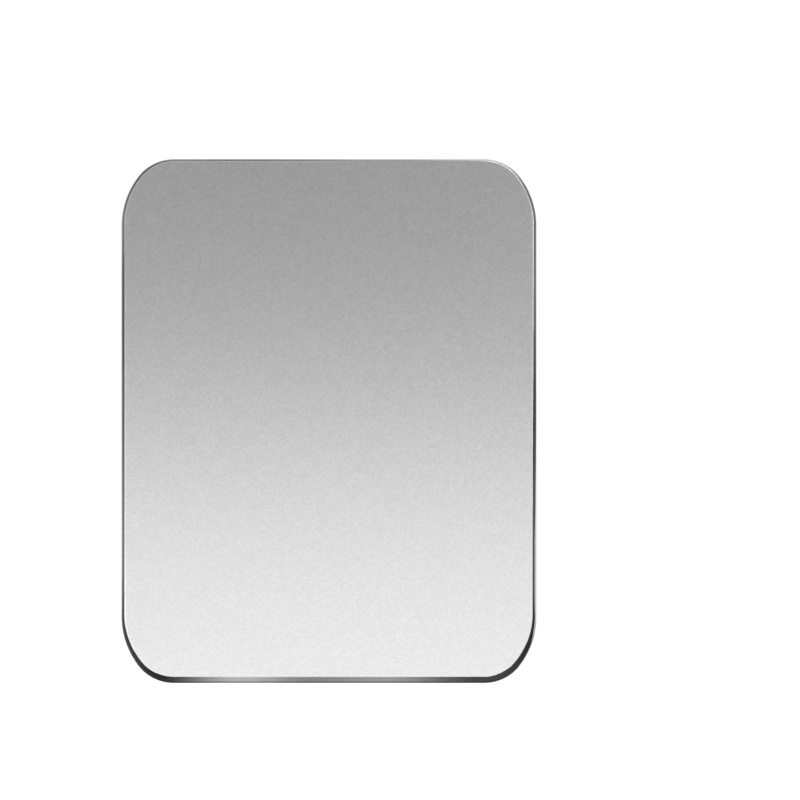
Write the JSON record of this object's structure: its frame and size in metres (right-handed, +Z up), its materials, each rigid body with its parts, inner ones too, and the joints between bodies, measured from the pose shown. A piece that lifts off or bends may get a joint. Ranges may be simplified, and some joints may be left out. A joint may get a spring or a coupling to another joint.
{
  "type": "magnetic phone mount plate",
  "caption": "Thin oblong steel plate with oval rounded corners, a satin front and a rolled rim, bonded to a phone or its case so that a magnetic holder can grip it.",
  "frame": {"origin": "middle of the plate's back, on the surface that it lies on", "axes": "+X across the plate's short way, +Y along its long way, +Z up out of the satin front"},
  "size_m": [0.0382, 0.0508, 0.001],
  "materials": {
    "steel": "fine satin, with a smoother rolled rim"
  },
  "bodies": {
    "root": {"plate": "steel"}
  },
  "joints": []
}
